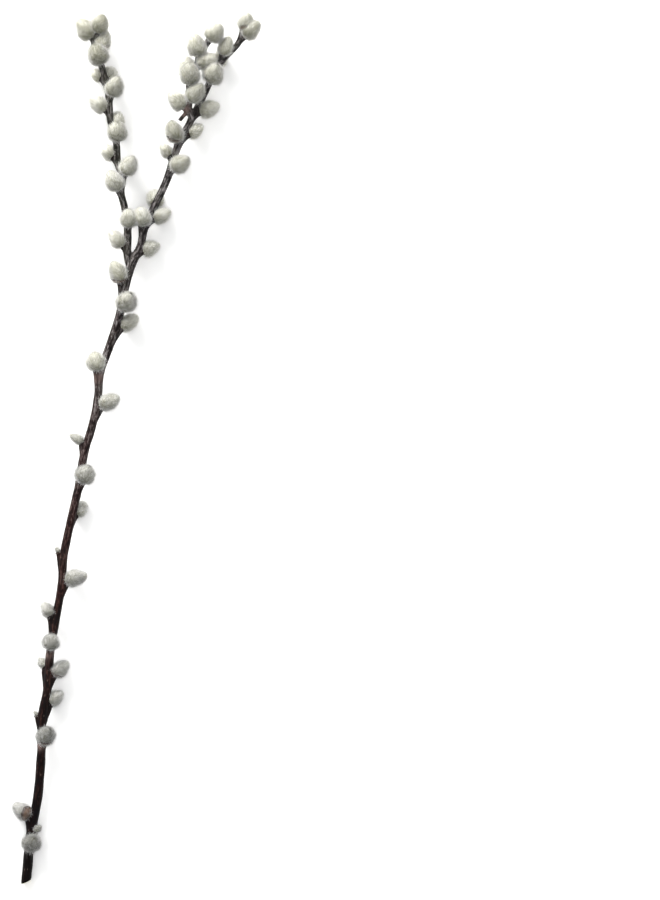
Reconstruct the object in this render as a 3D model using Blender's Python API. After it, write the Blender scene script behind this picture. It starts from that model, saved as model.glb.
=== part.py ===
"""A forked pussy-willow branch, cut and laid down on a flat surface.

Every size is in millimetres here and becomes metres when a mesh is made. The branch lies
along +Y: "height" is the distance along Y from the middle of the branch, as if it stood.
Its cut end is at the bottom and its tips are at the top; +X is to the right and +Z points
away from the surface. It rests on its cut end and on the lowest catkins of both arms,
which the surface has pressed flat.
"""
import math
from collections import namedtuple

import bmesh
import bpy
import numpy as np
from mathutils import Vector

MM = 0.001

# Stems: hand-chosen points of the centre line (x, height, z) and the radius there.
MAIN_STEM = (
    (-60.5, -236.0, 2.4, 2.75), (-57.5, -208.5, 4.2, 2.7), (-54.0, -190.5, 5.4, 2.6),
    (-51.8, -166.0, 6.7, 2.5), (-50.9, -144.0, 7.6, 2.4), (-48.2, -129.5, 8.1, 2.35),
    (-46.8, -111.0, 8.5, 2.35), (-43.9, -93.5, 8.7, 2.35), (-40.6, -74.5, 8.8, 2.3),
    (-39.6, -60.0, 8.8, 2.3), (-35.6, -39.5, 8.7, 2.3), (-30.9, -18.5, 8.8, 2.3),
    (-28.6, -4.0, 8.9, 2.3), (-24.0, 12.0, 9.0, 2.25), (-20.8, 28.0, 9.1, 2.25),
    (-19.8, 40.0, 9.2, 2.25), (-14.6, 55.0, 9.3, 2.25), (-8.9, 73.0, 9.4, 2.3),
    (-6.0, 88.0, 9.5, 2.5), (-2.6, 100.0, 9.5, 2.6), (2.0, 109.0, 9.6, 2.2),
    (4.6, 119.5, 9.6, 2.1), (11.0, 133.5, 9.6, 2.1), (16.4, 145.0, 9.6, 2.1),
    (21.3, 160.5, 9.6, 2.1), (28.2, 175.0, 9.5, 2.0), (36.0, 190.5, 9.3, 1.9),
    (46.6, 210.5, 8.9, 1.8), (56.0, 221.0, 8.8, 1.7), (57.6, 228.5, 8.8, 1.4),
)
LEFT_ARM = (
    (-3.6, 97.0, 9.5, 1.6), (-4.7, 104.0, 9.6, 2.1), (-4.6, 117.5, 9.7, 2.1),
    (-6.6, 132.0, 9.8, 2.0), (-8.3, 139.5, 9.8, 2.0), (-7.3, 146.0, 9.8, 2.0),
    (-10.0, 155.0, 9.8, 2.0), (-10.8, 166.0, 9.7, 1.95), (-14.0, 177.5, 9.5, 1.9),
    (-14.9, 190.0, 9.3, 1.9), (-18.2, 205.5, 9.1, 1.85), (-22.9, 219.5, 9.0, 1.75),
    (-21.8, 227.0, 9.0, 1.4),
)
SIDE_TWIG = (
    (30.6, 178.0, 9.8, 1.3), (28.0, 184.5, 10.4, 1.9), (28.0, 190.0, 10.9, 1.8),
    (29.8, 199.0, 11.6, 1.6), (32.2, 206.5, 12.0, 1.5), (35.4, 213.0, 12.2, 1.4),
    (39.6, 223.0, 12.2, 1.2),
)
STEM_STATION = 7.0
STEM_SIDES = 8

# The cut across the bottom of the main stem slopes by this much from side to side.
CUT_SLOPE = 3.0

# Buds: height where the bud sits, roll round the stem (0 faces up from the surface,
# 90 is to the right, -90 to the left, 180 underneath), lean away from the stem's line,
# length and width. A scaled bud keeps its brown bud scale, and an empty one has lost its
# catkin and holds a scrap of silk.
Bud = namedtuple("Bud", "height roll lean length width kind")
FURRY, SCALED, EMPTY = "furry", "scaled", "empty"
MAIN_BUDS = (
    (-215.5, 15, 55, 11.0, 10.0, FURRY), (-206.5, 50, 50, 5.0, 4.2, FURRY),
    (-200.5, -85, 62, 11.0, 9.5, SCALED), (-158.0, 30, 48, 11.5, 10.0, SCALED),
    (-145.0, -90, 45, 3.5, 4.0, EMPTY), (-137.5, 125, 45, 10.0, 8.5, FURRY),
    (-122.0, 95, 48, 10.5, 9.0, SCALED), (-118.5, -125, 45, 7.0, 5.5, FURRY),
    (-107.0, 0, 24, 8.0, 9.5, FURRY), (-90.5, -90, 48, 8.5, 7.5, FURRY),
    (-71.5, 85, 70, 12.0, 9.4, FURRY), (-56.5, -90, 40, 4.0, 4.6, EMPTY),
    (-35.0, 155, 45, 10.5, 8.5, FURRY), (-16.5, 35, 30, 9.8, 11.0, FURRY),
    (3.0, -85, 78, 8.5, 5.6, FURRY), (24.0, 80, 55, 11.5, 9.5, FURRY),
    (43.0, -50, 28, 9.8, 10.8, FURRY), (67.0, 120, 42, 12.0, 9.5, FURRY),
    (77.0, 25, 50, 12.5, 11.0, FURRY), (91.0, -60, 42, 12.0, 10.0, SCALED),
    (108.5, 110, 45, 10.0, 9.0, FURRY), (121.0, -50, 22, 10.0, 11.0, FURRY),
    (126.0, 110, 40, 11.0, 9.0, FURRY), (133.0, -160, 48, 11.0, 9.0, FURRY),
    (152.5, 50, 50, 11.5, 10.0, FURRY), (158.5, -88, 58, 8.0, 7.0, FURRY),
    (166.5, -50, 48, 12.0, 10.5, SCALED), (172.0, 125, 35, 10.0, 8.0, FURRY),
    (184.0, 105, 42, 12.0, 10.0, FURRY), (200.0, 5, 45, 12.5, 11.0, FURRY),
    (209.0, -155, 46, 9.5, 8.5, FURRY), (213.0, -50, 28, 10.5, 8.0, FURRY),
    (224.5, 70, 40, 11.5, 10.0, FURRY), (228.0, 30, 20, 9.5, 8.5, SCALED),
)
LEFT_BUDS = (
    (110.5, -85, 45, 11.0, 9.0, FURRY), (121.0, 20, 22, 9.8, 9.5, FURRY),
    (141.0, -45, 42, 11.5, 10.5, FURRY), (149.0, 60, 50, 11.0, 10.0, FURRY),
    (158.5, -115, 40, 10.0, 8.5, FURRY), (168.0, 22, 48, 11.5, 10.5, FURRY),
    (175.0, 140, 40, 10.0, 8.5, FURRY), (184.5, -88, 50, 11.0, 9.5, FURRY),
    (192.0, 50, 42, 11.5, 10.0, FURRY), (200.5, 155, 48, 10.5, 9.0, FURRY),
    (202.0, -125, 40, 8.0, 7.0, FURRY), (209.5, 8, 42, 12.5, 11.0, FURRY),
    (216.0, 100, 35, 12.0, 10.0, SCALED), (223.5, -75, 50, 12.0, 11.0, FURRY),
    (226.5, 30, 22, 10.5, 9.5, FURRY),
)
TWIG_BUDS = (
    (186.0, -75, 45, 11.0, 10.0, FURRY), (189.5, 50, 42, 12.0, 9.5, FURRY),
    (198.5, -15, 32, 12.5, 11.0, FURRY), (203.0, -105, 34, 10.5, 9.5, FURRY),
    (208.5, 70, 36, 11.0, 10.0, FURRY), (213.0, -55, 40, 12.0, 11.0, FURRY),
    (222.5, 40, 28, 10.5, 10.0, FURRY),
)

# A spur is the wedge of stem that carries a bud: it starts inside the stem this far below
# the bud, with this share of the stem's radius, and ends in a shelf that stands this far
# out of the stem's surface.
SPUR_RUN = 9.0
SPUR_REACH = 0.9
SPUR_FOOT = 0.6
SHELF_RADIUS = 2.3
SHELF_SHARE_OF_BUD = 0.32

BUD_SIDES = 8
CATKIN_RINGS = (0.16, 0.36, 0.60, 0.83, 1.0)
CATKIN_SUNK = 1.3
CATKIN_BELLY = 0.76
CATKIN_FULLNESS = 0.56
CATKIN_FLAT = 0.89
CATKIN_BLUNT_ENDS = (0.035, 0.985)
TUFT_RELIEF = 0.06

SCALE_THICKNESS = 0.45
SCALE_RINGS = (-0.04, 0.10, 0.28)
SCALE_POINT = 0.22

# The stub of an old twig, cut back, at the foot of the side twig.
STUB_SIDES = 6
STUB = ((28.2, 183.0, 11.3, 1.3), (25.4, 179.8, 11.8, 1.1), (23.6, 177.6, 12.0, 1.15))

# The middle of the branch's footprint, which becomes the origin.
FOOTPRINT_MIDDLE = Vector((0.0, -0.9, 0.0))

BARK_COLOUR = (0.055, 0.032, 0.034, 1.0)


def hermite(points, height):
    """Follow a smooth curve through a stem's points, as (x, y, z, radius) at a height."""
    rows = np.array(points)
    heights = rows[:, 1]
    slopes = np.gradient(rows, heights, axis=0)
    below = int(np.clip(np.searchsorted(heights, height) - 1, 0, len(heights) - 2))
    span = heights[below + 1] - heights[below]
    t = (height - heights[below]) / span
    return (
        rows[below] * (2 * t ** 3 - 3 * t ** 2 + 1)
        + slopes[below] * span * (t ** 3 - 2 * t ** 2 + t)
        + rows[below + 1] * (3 * t ** 2 - 2 * t ** 3)
        + slopes[below + 1] * span * (t ** 3 - t ** 2)
    )


def stem_place(points, height):
    """Return a stem's centre, direction and radius at a height."""
    here = hermite(points, height)
    ahead = hermite(points, min(height + 1.0, points[-1][1]))
    behind = hermite(points, max(height - 1.0, points[0][1]))
    direction = Vector(ahead[:3] - behind[:3]).normalized()
    return Vector(here[:3]), direction, float(here[3])


def side_and_front(direction):
    """Return the two axes across a direction: to its right, and up from the surface."""
    side = direction.cross(Vector((0.0, 0.0, 1.0))).normalized()
    return side, side.cross(direction).normalized()


def ring(centre, direction, radius, sides, turn=0.0):
    """Return the points of a regular ring across a direction."""
    side, front = side_and_front(direction)
    points = []
    for step in range(sides):
        angle = turn + 2 * math.pi * step / sides
        points.append(centre + (side * math.sin(angle) + front * math.cos(angle)) * radius)
    return points


def loft(name, rings, material, collection):
    """Join rings of points into one closed solid, in metres."""
    mesh = bpy.data.meshes.new(name)
    shape = bmesh.new()
    loops = [[shape.verts.new(point * MM) for point in points] for points in rings]
    sides = len(loops[0])
    for lower, upper in zip(loops, loops[1:]):
        for step in range(sides):
            after = (step + 1) % sides
            shape.faces.new((lower[step], lower[after], upper[after], upper[step]))
    shape.faces.new(loops[0][::-1])
    shape.faces.new(loops[-1])
    bmesh.ops.recalc_face_normals(shape, faces=shape.faces)
    shape.to_mesh(mesh)
    shape.free()
    mesh.materials.append(material)
    solid = bpy.data.objects.new(name, mesh)
    collection.objects.link(solid)
    return solid


def make_stem(name, points, material, collection, cut_slope=0.0):
    """Make a stem as a tapering tube along its points, with a sloping cut at its foot."""
    foot, top = points[0][1], points[-1][1]
    stations = max(2, round((top - foot) / STEM_STATION))
    rings = []
    for station in range(stations + 1):
        height = foot + (top - foot) * station / stations
        centre, direction, radius = stem_place(points, height)
        rings.append(ring(centre, direction, radius, STEM_SIDES, math.pi / STEM_SIDES))
    middle = sum(rings[0], Vector()) / STEM_SIDES
    for point in rings[0]:
        point.y += cut_slope * (point.x - middle.x) / (2 * points[0][3])
    return loft(name, rings, material, collection)


def bud_seat(points, bud):
    """Return a bud's seat on the stem's surface, its direction and its outward direction."""
    centre, direction, radius = stem_place(points, bud.height)
    side, front = side_and_front(direction)
    angle = math.radians(bud.roll)
    outward = side * math.sin(angle) + front * math.cos(angle)
    tilt = math.radians(bud.lean)
    pointing = direction * math.cos(tilt) + outward * math.sin(tilt)
    return centre + outward * (radius + SPUR_REACH), pointing, outward


def catkin_radius(share):
    """Return a catkin's radius along its length, from 0 at its foot to 1 at its tip."""
    blunt_foot, blunt_tip = CATKIN_BLUNT_ENDS
    share = min(max(share, blunt_foot), blunt_tip)
    return math.sin(math.pi * share ** CATKIN_BELLY) ** CATKIN_FULLNESS


def flatten(points, centre, pointing, outward):
    """Press a ring of a catkin flatter towards the stem that it grows from."""
    across = (outward - pointing * outward.dot(pointing)).normalized()
    for point in points:
        point += across * (point - centre).dot(across) * (CATKIN_FLAT - 1.0)
    return points


def make_bud(name, points, bud, material, collection):
    """Make a bud with the wedge of stem under it, as one solid that starts in the stem.

    The wedge widens into the shelf that the bud sits on. The bud itself is an egg shape
    with its silk standing in low tufts, each ring of them turned half a tuft.
    """
    seat, pointing, outward = bud_seat(points, bud)
    foot = max(bud.height - SPUR_RUN, points[0][1] + 1.0)
    start, direction, radius = stem_place(points, foot)
    shelf = min(SHELF_RADIUS, bud.width * SHELF_SHARE_OF_BUD)
    rings = [
        ring(start, direction, radius * SPUR_FOOT, BUD_SIDES),
        ring(seat, pointing, shelf, BUD_SIDES),
    ]
    for number, share in enumerate(CATKIN_RINGS):
        centre = seat + pointing * (bud.length * share - CATKIN_SUNK)
        tufts = ring(centre, pointing, catkin_radius(share) * bud.width / 2, BUD_SIDES)
        for step in range(number % 2, BUD_SIDES, 2):
            tufts[step] += (tufts[step] - centre) * TUFT_RELIEF
        rings.append(flatten(tufts, centre, pointing, outward))
    return loft(name, rings, material, collection)


def make_scale(name, points, bud, material, collection):
    """Make the bud scale left at a catkin's foot: a cup with a point on its outer side."""
    seat, pointing, outward = bud_seat(points, bud)
    rings = []
    for share in SCALE_RINGS:
        centre = seat + pointing * (bud.length * share - CATKIN_SUNK)
        radius = catkin_radius(share) * bud.width / 2 + SCALE_THICKNESS
        cup = ring(centre, pointing, radius, BUD_SIDES)
        rings.append(flatten(cup, centre, pointing, outward))
    for point in rings[-1]:
        rise = max(0.0, (point - centre).normalized().dot(outward))
        point += pointing * (SCALE_POINT * bud.length * rise)
    return loft(name, rings, material, collection)


def make_buds(stem_name, points, buds, material, collection):
    """Make each bud of a stem with the spur under it."""
    for number, row in enumerate(buds):
        bud = Bud(*row)
        label = f"{stem_name}_{number}"
        make_bud(f"bud_{label}", points, bud, material, collection)
        if bud.kind == SCALED:
            make_scale(f"scale_{label}", points, bud, material, collection)


def make_stub(material, collection):
    """Make the cut-back stub at the foot of the side twig."""
    rings = []
    centres = [Vector(point[:3]) for point in STUB]
    for number, point in enumerate(STUB):
        behind = centres[max(number - 1, 0)]
        ahead = centres[min(number + 1, len(STUB) - 1)]
        rings.append(ring(centres[number], (ahead - behind).normalized(), point[3], STUB_SIDES))
    return loft("stub", rings, material, collection)


def join_with(target, operation, collection):
    """Apply one Boolean of a whole collection to the target and remove its objects."""
    boolean = target.modifiers.new(operation.lower(), "BOOLEAN")
    boolean.operation = operation
    boolean.operand_type = "COLLECTION"
    boolean.collection = collection
    boolean.solver = "EXACT"
    bpy.context.view_layer.update()
    evaluated = target.evaluated_get(bpy.context.evaluated_depsgraph_get())
    joined = bpy.data.meshes.new_from_object(evaluated)
    target.modifiers.clear()
    target.data = joined
    for solid in list(collection.objects):
        bpy.data.objects.remove(solid)
    bpy.data.collections.remove(collection)


def drop_scraps(branch):
    """Keep the branch's one body and drop the crumbs and sealed pockets of its joining."""
    shape = bmesh.new()
    shape.from_mesh(branch.data)
    loose = set(shape.verts)
    bodies = []
    while loose:
        body = {loose.pop()}
        edge = list(body)
        while edge:
            for link in edge.pop().link_edges:
                for vertex in link.verts:
                    if vertex in loose:
                        loose.remove(vertex)
                        body.add(vertex)
                        edge.append(vertex)
        bodies.append(body)
    bodies.sort(key=len)
    for scrap in bodies[:-1]:
        bmesh.ops.delete(shape, geom=list(scrap), context="VERTS")
    shape.to_mesh(branch.data)
    shape.free()


def new_collection(name):
    """Add a collection to the scene."""
    collection = bpy.data.collections.new(name)
    bpy.context.scene.collection.children.link(collection)
    return collection


def surface_block(material, collection):
    """Make the block of space below the surface, which trims what reaches under it."""
    half_x, half_y, depth = 120.0, 300.0, 20.0
    corners = ((-half_x, -half_y), (half_x, -half_y), (half_x, half_y), (-half_x, half_y))
    rings = [[Vector((x, y, z)) for x, y in corners] for z in (-depth, 0.0)]
    return loft("surface", rings, material, collection)


def bark_material():
    """Return the bark's material."""
    material = bpy.data.materials.new("bark")
    material.use_nodes = True
    shader = material.node_tree.nodes["Principled BSDF"]
    shader.inputs["Base Color"].default_value = BARK_COLOUR
    shader.inputs["Roughness"].default_value = 0.5
    shader.inputs["Metallic"].default_value = 0.0
    return material


def make_branch():
    """Make the whole branch as one grown piece."""
    bark = bark_material()
    branch = make_stem("willow_branch", MAIN_STEM, bark, bpy.context.scene.collection, CUT_SLOPE)
    grown = new_collection("grown_from_the_stem")
    make_stem("left_arm", LEFT_ARM, bark, grown)
    make_stem("side_twig", SIDE_TWIG, bark, grown)
    make_stub(bark, grown)
    make_buds("main", MAIN_STEM, MAIN_BUDS, bark, grown)
    make_buds("left", LEFT_ARM, LEFT_BUDS, bark, grown)
    make_buds("twig", SIDE_TWIG, TWIG_BUDS, bark, grown)
    join_with(branch, "UNION", grown)
    below = new_collection("below_the_surface")
    surface_block(bark, below)
    join_with(branch, "DIFFERENCE", below)
    drop_scraps(branch)
    for vertex in branch.data.vertices:
        vertex.co -= FOOTPRINT_MIDDLE * MM
    branch.data.shade_smooth()
    branch.data.set_sharp_from_angle(angle=math.radians(35))
    return branch


for old in list(bpy.data.objects):
    bpy.data.objects.remove(old)
make_branch()
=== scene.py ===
"""The looks of a forked willow branch that lies on a pale surface, seen from above.

Sizes are in millimetres and become metres when a mesh is made. The branch's routes and buds
are the same as in its solid model: +Y runs from the cut end to the tips, and +Z is up.
"""

import math
from collections import namedtuple

import bpy
import numpy as np
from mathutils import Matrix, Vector, kdtree, noise


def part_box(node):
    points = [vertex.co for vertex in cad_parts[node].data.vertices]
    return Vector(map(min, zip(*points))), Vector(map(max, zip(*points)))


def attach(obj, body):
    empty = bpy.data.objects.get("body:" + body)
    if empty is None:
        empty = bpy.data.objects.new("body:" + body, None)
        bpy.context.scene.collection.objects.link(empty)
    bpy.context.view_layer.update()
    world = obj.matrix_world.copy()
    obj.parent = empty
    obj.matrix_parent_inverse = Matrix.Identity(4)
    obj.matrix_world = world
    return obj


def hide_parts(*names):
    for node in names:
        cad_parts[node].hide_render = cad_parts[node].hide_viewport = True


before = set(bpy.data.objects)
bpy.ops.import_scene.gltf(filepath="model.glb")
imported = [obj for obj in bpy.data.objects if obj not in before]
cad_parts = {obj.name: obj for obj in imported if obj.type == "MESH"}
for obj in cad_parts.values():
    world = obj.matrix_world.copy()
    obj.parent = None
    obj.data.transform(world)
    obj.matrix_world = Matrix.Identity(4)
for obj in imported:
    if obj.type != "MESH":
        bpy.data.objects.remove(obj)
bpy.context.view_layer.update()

MM = 0.001
NODE = "willow_branch"
BODY = "root"

# Stems: points of the centre line (x, height, z) and the radius there.
MAIN_STEM = (
    (-60.5, -236.0, 2.4, 2.75), (-57.5, -208.5, 4.2, 2.7), (-54.0, -190.5, 5.4, 2.6),
    (-51.8, -166.0, 6.7, 2.5), (-50.9, -144.0, 7.6, 2.4), (-48.2, -129.5, 8.1, 2.35),
    (-46.8, -111.0, 8.5, 2.35), (-43.9, -93.5, 8.7, 2.35), (-40.6, -74.5, 8.8, 2.3),
    (-39.6, -60.0, 8.8, 2.3), (-35.6, -39.5, 8.7, 2.3), (-30.9, -18.5, 8.8, 2.3),
    (-28.6, -4.0, 8.9, 2.3), (-24.0, 12.0, 9.0, 2.25), (-20.8, 28.0, 9.1, 2.25),
    (-19.8, 40.0, 9.2, 2.25), (-14.6, 55.0, 9.3, 2.25), (-8.9, 73.0, 9.4, 2.3),
    (-6.0, 88.0, 9.5, 2.5), (-2.6, 100.0, 9.5, 2.6), (2.0, 109.0, 9.6, 2.2),
    (4.6, 119.5, 9.6, 2.1), (11.0, 133.5, 9.6, 2.1), (16.4, 145.0, 9.6, 2.1),
    (21.3, 160.5, 9.6, 2.1), (28.2, 175.0, 9.5, 2.0), (36.0, 190.5, 9.3, 1.9),
    (46.6, 210.5, 8.9, 1.8), (56.0, 221.0, 8.8, 1.7), (57.6, 228.5, 8.8, 1.4),
)
LEFT_ARM = (
    (-3.6, 97.0, 9.5, 1.6), (-4.7, 104.0, 9.6, 2.1), (-4.6, 117.5, 9.7, 2.1),
    (-6.6, 132.0, 9.8, 2.0), (-8.3, 139.5, 9.8, 2.0), (-7.3, 146.0, 9.8, 2.0),
    (-10.0, 155.0, 9.8, 2.0), (-10.8, 166.0, 9.7, 1.95), (-14.0, 177.5, 9.5, 1.9),
    (-14.9, 190.0, 9.3, 1.9), (-18.2, 205.5, 9.1, 1.85), (-22.9, 219.5, 9.0, 1.75),
    (-21.8, 227.0, 9.0, 1.4),
)
SIDE_TWIG = (
    (30.6, 178.0, 9.8, 1.3), (28.0, 184.5, 10.4, 1.9), (28.0, 190.0, 10.9, 1.8),
    (29.8, 199.0, 11.6, 1.6), (32.2, 206.5, 12.0, 1.5), (35.4, 213.0, 12.2, 1.4),
    (39.6, 223.0, 12.2, 1.2),
)
STUB = ((28.2, 183.0, 11.3, 1.3), (25.4, 179.8, 11.8, 1.1), (23.6, 177.6, 12.0, 1.15))
FOOTPRINT_MIDDLE = np.array((0.0, -0.9, 0.0))
# The slanting cut at the foot: its slope, its share of the stem's radius, how far it stands
# proud of the stem's end, and how much less it does so in the middle.
CUT_SLOPE = 3.0
CUT_SHARE = 0.985
CUT_PROUD = 0.22
CUT_HOLLOW = 0.10
CUT_SIDES = 48
CUT_RINGS = (1.0, 0.93, 0.8, 0.6, 0.4, 0.2, 0.08)

# Buds: height, roll round the stem, lean from its line, length and width, then whether one
# keeps its bud scale or has lost its catkin.
FURRY, SCALED, EMPTY = "furry", "scaled", "empty"
Bud = namedtuple("Bud", "height roll lean length width kind", defaults=(FURRY,))
MAIN_BUDS = (
    (-215.5, 15, 55, 11.0, 10.0), (-206.5, 50, 50, 5.0, 4.2),
    (-200.5, -85, 62, 11.0, 9.5, SCALED), (-158.0, 30, 48, 11.5, 10.0, SCALED),
    (-145.0, -90, 45, 3.5, 4.0, EMPTY), (-137.5, 125, 45, 10.0, 8.5),
    (-122.0, 95, 48, 10.5, 9.0, SCALED), (-118.5, -125, 45, 7.0, 5.5), (-107.0, 0, 24, 8.0, 9.5),
    (-90.5, -90, 48, 8.5, 7.5), (-71.5, 85, 70, 12.0, 9.4), (-56.5, -90, 40, 4.0, 4.6, EMPTY),
    (-35.0, 155, 45, 10.5, 8.5), (-16.5, 35, 30, 9.8, 11.0), (3.0, -85, 78, 8.5, 5.6),
    (24.0, 80, 55, 11.5, 9.5), (43.0, -50, 28, 9.8, 10.8), (67.0, 120, 42, 12.0, 9.5),
    (77.0, 25, 50, 12.5, 11.0), (91.0, -60, 42, 12.0, 10.0, SCALED), (108.5, 110, 45, 10.0, 9.0),
    (121.0, -50, 22, 10.0, 11.0), (126.0, 110, 40, 11.0, 9.0), (133.0, -160, 48, 11.0, 9.0),
    (152.5, 50, 50, 11.5, 10.0), (158.5, -88, 58, 8.0, 7.0), (166.5, -50, 48, 12.0, 10.5, SCALED),
    (172.0, 125, 35, 10.0, 8.0), (184.0, 105, 42, 12.0, 10.0), (200.0, 5, 45, 12.5, 11.0),
    (209.0, -155, 46, 9.5, 8.5), (213.0, -50, 28, 10.5, 8.0), (224.5, 70, 40, 11.5, 10.0),
    (228.0, 30, 20, 9.5, 8.5, SCALED),
)
LEFT_BUDS = (
    (110.5, -85, 45, 11.0, 9.0), (121.0, 20, 22, 9.8, 9.5), (141.0, -45, 42, 11.5, 10.5),
    (149.0, 60, 50, 11.0, 10.0), (158.5, -115, 40, 10.0, 8.5), (168.0, 22, 48, 11.5, 10.5),
    (175.0, 140, 40, 10.0, 8.5), (184.5, -88, 50, 11.0, 9.5), (192.0, 50, 42, 11.5, 10.0),
    (200.5, 155, 48, 10.5, 9.0), (202.0, -125, 40, 8.0, 7.0), (209.5, 8, 42, 12.5, 11.0),
    (216.0, 100, 35, 12.0, 10.0, SCALED), (223.5, -75, 50, 12.0, 11.0),
    (226.5, 30, 22, 10.5, 9.5),
)
TWIG_BUDS = (
    (186.0, -75, 45, 11.0, 10.0), (189.5, 50, 42, 12.0, 9.5), (198.5, -15, 32, 12.5, 11.0),
    (203.0, -105, 34, 10.5, 9.5), (208.5, 70, 36, 11.0, 10.0), (213.0, -55, 40, 12.0, 11.0),
    (222.5, 40, 28, 10.5, 10.0),
)
GROWTH = (
    ("main", MAIN_STEM, MAIN_BUDS),
    ("left", LEFT_ARM, LEFT_BUDS),
    ("twig", SIDE_TWIG, TWIG_BUDS),
)

# Spurs, the wedges of stem under the buds: how far one runs down the stem, and how far its
# bend lies behind the bud's seat, down the stem from it and in towards the stem.
Spur = namedtuple("Spur", "run back down inward")
SPUR = Spur(9.0, 3.48, 0.0, 0.0)
LONG_SPUR = Spur(14.0, 1.2, 5.88, 0.5)
LONG_SPURS_BELOW = 95.0
SPUR_REACH = 0.9
SPUR_SIDES = 16
# A spur's rings: their places on it, then their radii: two as shares of the stem's radius,
# three in millimetres and three, round the bud's shelf, as shares of the shelf's radius.
SPUR_STEPS = (0.0, 0.2, 0.4, 0.58, 0.74, 0.87, 0.96, 1.0)
SPUR_FOOT = (0.6, 0.74)
SPUR_MIDDLE = (1.55, 1.66, 1.8)
SPUR_RIM = (0.94, 1.0, 0.9)
SHELF_RADIUS = 2.3
SHELF_SHARE_OF_BUD = 0.32

# Catkins
CATKIN_SUNK = 1.3
CATKIN_BELLY = 0.76
CATKIN_FULLNESS = 0.51
CATKIN_FLAT = 0.89
CATKIN_BLUNT_ENDS = (0.035, 0.985)
BODY_SHARE = 0.88
SCRAP_SHARE = 0.50
BODY_LENGTH_SHARE = 0.95
BODY_SIDES, BODY_RINGS = 28, 20
BELLY_SPREAD = 0.07
# Lumps of a catkin's body: size as a share of its girth, and waves round and along it.
LUMPS = ((0.050, 1, 0.6), (0.040, 2, -0.7), (0.040, 3, 1.1), (0.026, 5, 2.6), (0.018, 7, -2.3))
SHAPE_SEEDS = 1000
SKIN_STATIONS = 400
SHARE_STEP, ANGLE_STEP = 0.004, 0.01
CLEAR_OF_SURFACE = 0.06
SURFACE_SCATTER = 0.12

# Coats of silk, from the close grey-green one to the silver-white guard hairs: strands on a
# square millimetre, the share of them that stand up, whether they curve, the colour's place
# at root and tip, and how far their shading follows the body's.
# The dark roots are partly the core showing through and partly painted shade deep in the silk.
COATS = (
    (20.0, 0.0, False, (0.02, 0.66), 0.88),
    (4.0, 0.2, True, (0.14, 0.99), 0.86),
    (12.0, 1.0, False, (0.84, 0.99), 0.80),
)
# Strands: their length in millimetres on a catkin of full width, and their lift from the skin
# in degrees; the lift of strays, and their length as a share of the others'; then the swing
# sideways, the bow as a share of the length, and how the length falls along the catkin.
STRAND_LENGTH = (1.8, 3.2)
FULL_LENGTH_WIDTH = 8.0
STRAND_LIFT = (8.0, 24.0)
STRAY_LIFT = (26.0, 66.0)
STRAY_LENGTH = (0.45, 1.35)
STRAND_SWING = 0.16
STRAND_BOW = 0.10
STRAND_SHORTENING = ((0.0, 0.8, 1.0), (1.0, 0.9, 0.55))
LOWEST_ROOT = 0.03
# How far strands follow the skin's slope: inwards at the tip and outwards at the foot.
SLOPE_LIMITS = (-0.55, 3.0)
# Ribbons: half their width at the root and its spread, a curved one's width at the middle, and
# how far they turn from lying flat.
STRAND_HALF_WIDTH = 0.040
WIDTH_SPREAD = (0.75, 1.25)
MIDDLE_WIDTH = 0.8
STRAND_TWIST = 1.2
# Locks that draw strands together, up to near the tip: where a lock's own tip lies from its
# root, along the skin and off it, and how firmly it draws.
LOCKS_PER_MM2 = 0.06
FEWEST_LOCKS = 10
LOCK_TIP = (2.0, 0.7)
LOCK_PULL = 0.20
LOCK_PULL_SPREAD = (0.3, 1.4)
LOCKS_END = ((0.6, 0.85), (1.0, 0.0))
GOLDEN_ANGLE = math.radians(137.508)
# Tone of a catkin's silk: cool and grey at the foot, warmer and lighter at the tips, the grey
# foot partly painted shade and the light tips partly painted light. It also differs from catkin
# to catkin, from lock to lock and from strand to strand.
TONE_AT = ((-220.0, -20.0, 60.0, 230.0), (0.08, 0.34, 0.68, 0.85))
TONE_SPREAD = 0.12
LOCK_TONE, LOCK_TONE_WAVE = 0.12, 2.4
STRAND_TONE = 0.22
TONE_LIMITS = (0.02, 0.98)
# Catkins that are lighter or darker than their neighbours, by stem and place on it, partly in
# their own tone and partly as painted light and shade for how the key light falls on them. The
# stray hairs take on less of it.
TONE_AND_PAINTED_LIGHT = {
    ("main", 3): 0.90, ("main", 6): 1.1, ("main", 15): 1.1, ("main", 16): 0.85,
    ("main", 18): 1.4, ("main", 19): 0.82, ("main", 26): 0.55, ("main", 29): 1.2,
    ("main", 32): 0.70, ("left", 1): 1.15, ("left", 2): 1.45, ("left", 3): 1.4,
    ("left", 5): 1.3, ("left", 11): 0.66, ("left", 12): 0.72, ("left", 13): 0.55,
    ("left", 14): 0.58,
}
STRAYS_SPARED = 0.7
# Specks where the dark of the catkin's core shows through its silk: waves per millimetre, how
# wide a speck is, and how far it darkens a strand.
SPECK_WAVE = 3.0
SPECK_EDGE = (0.0, 0.16)
SPECK_DEPTH = 0.55

# The strand map: silk in its left part, where x is the tone and y runs from root to tip, and
# the catkin's own skin, unrolled, in its right part.
STRAND_MAP = "strand"
BAKE_MAP = "OFBake"
SILK_PART = 0.48
SKIN_PART = (0.52, 0.98)
SKIN_MARGIN = 0.02
RIBBON_ON_MAP = 0.004
HIGHEST_ON_MAP = 0.99

# Hoods, the bud scales behind catkins: their share of a catkin's girth, and their lowest rise
# on the outer side and its step from one to the next, as shares of the catkin's length.
HOOD_SHARE = 0.97
HOOD_RISE, HOOD_RISE_STEP, HOOD_RISE_STEPS = 0.24, 0.035, 6
# Hoods that differ: (share, turn from the outer side in degrees, rise).
OTHER_HOODS = {("main", 2): (1.08, 118.0, 0.46), ("main", 19): (1.06, -8.0, 0.22)}
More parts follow.
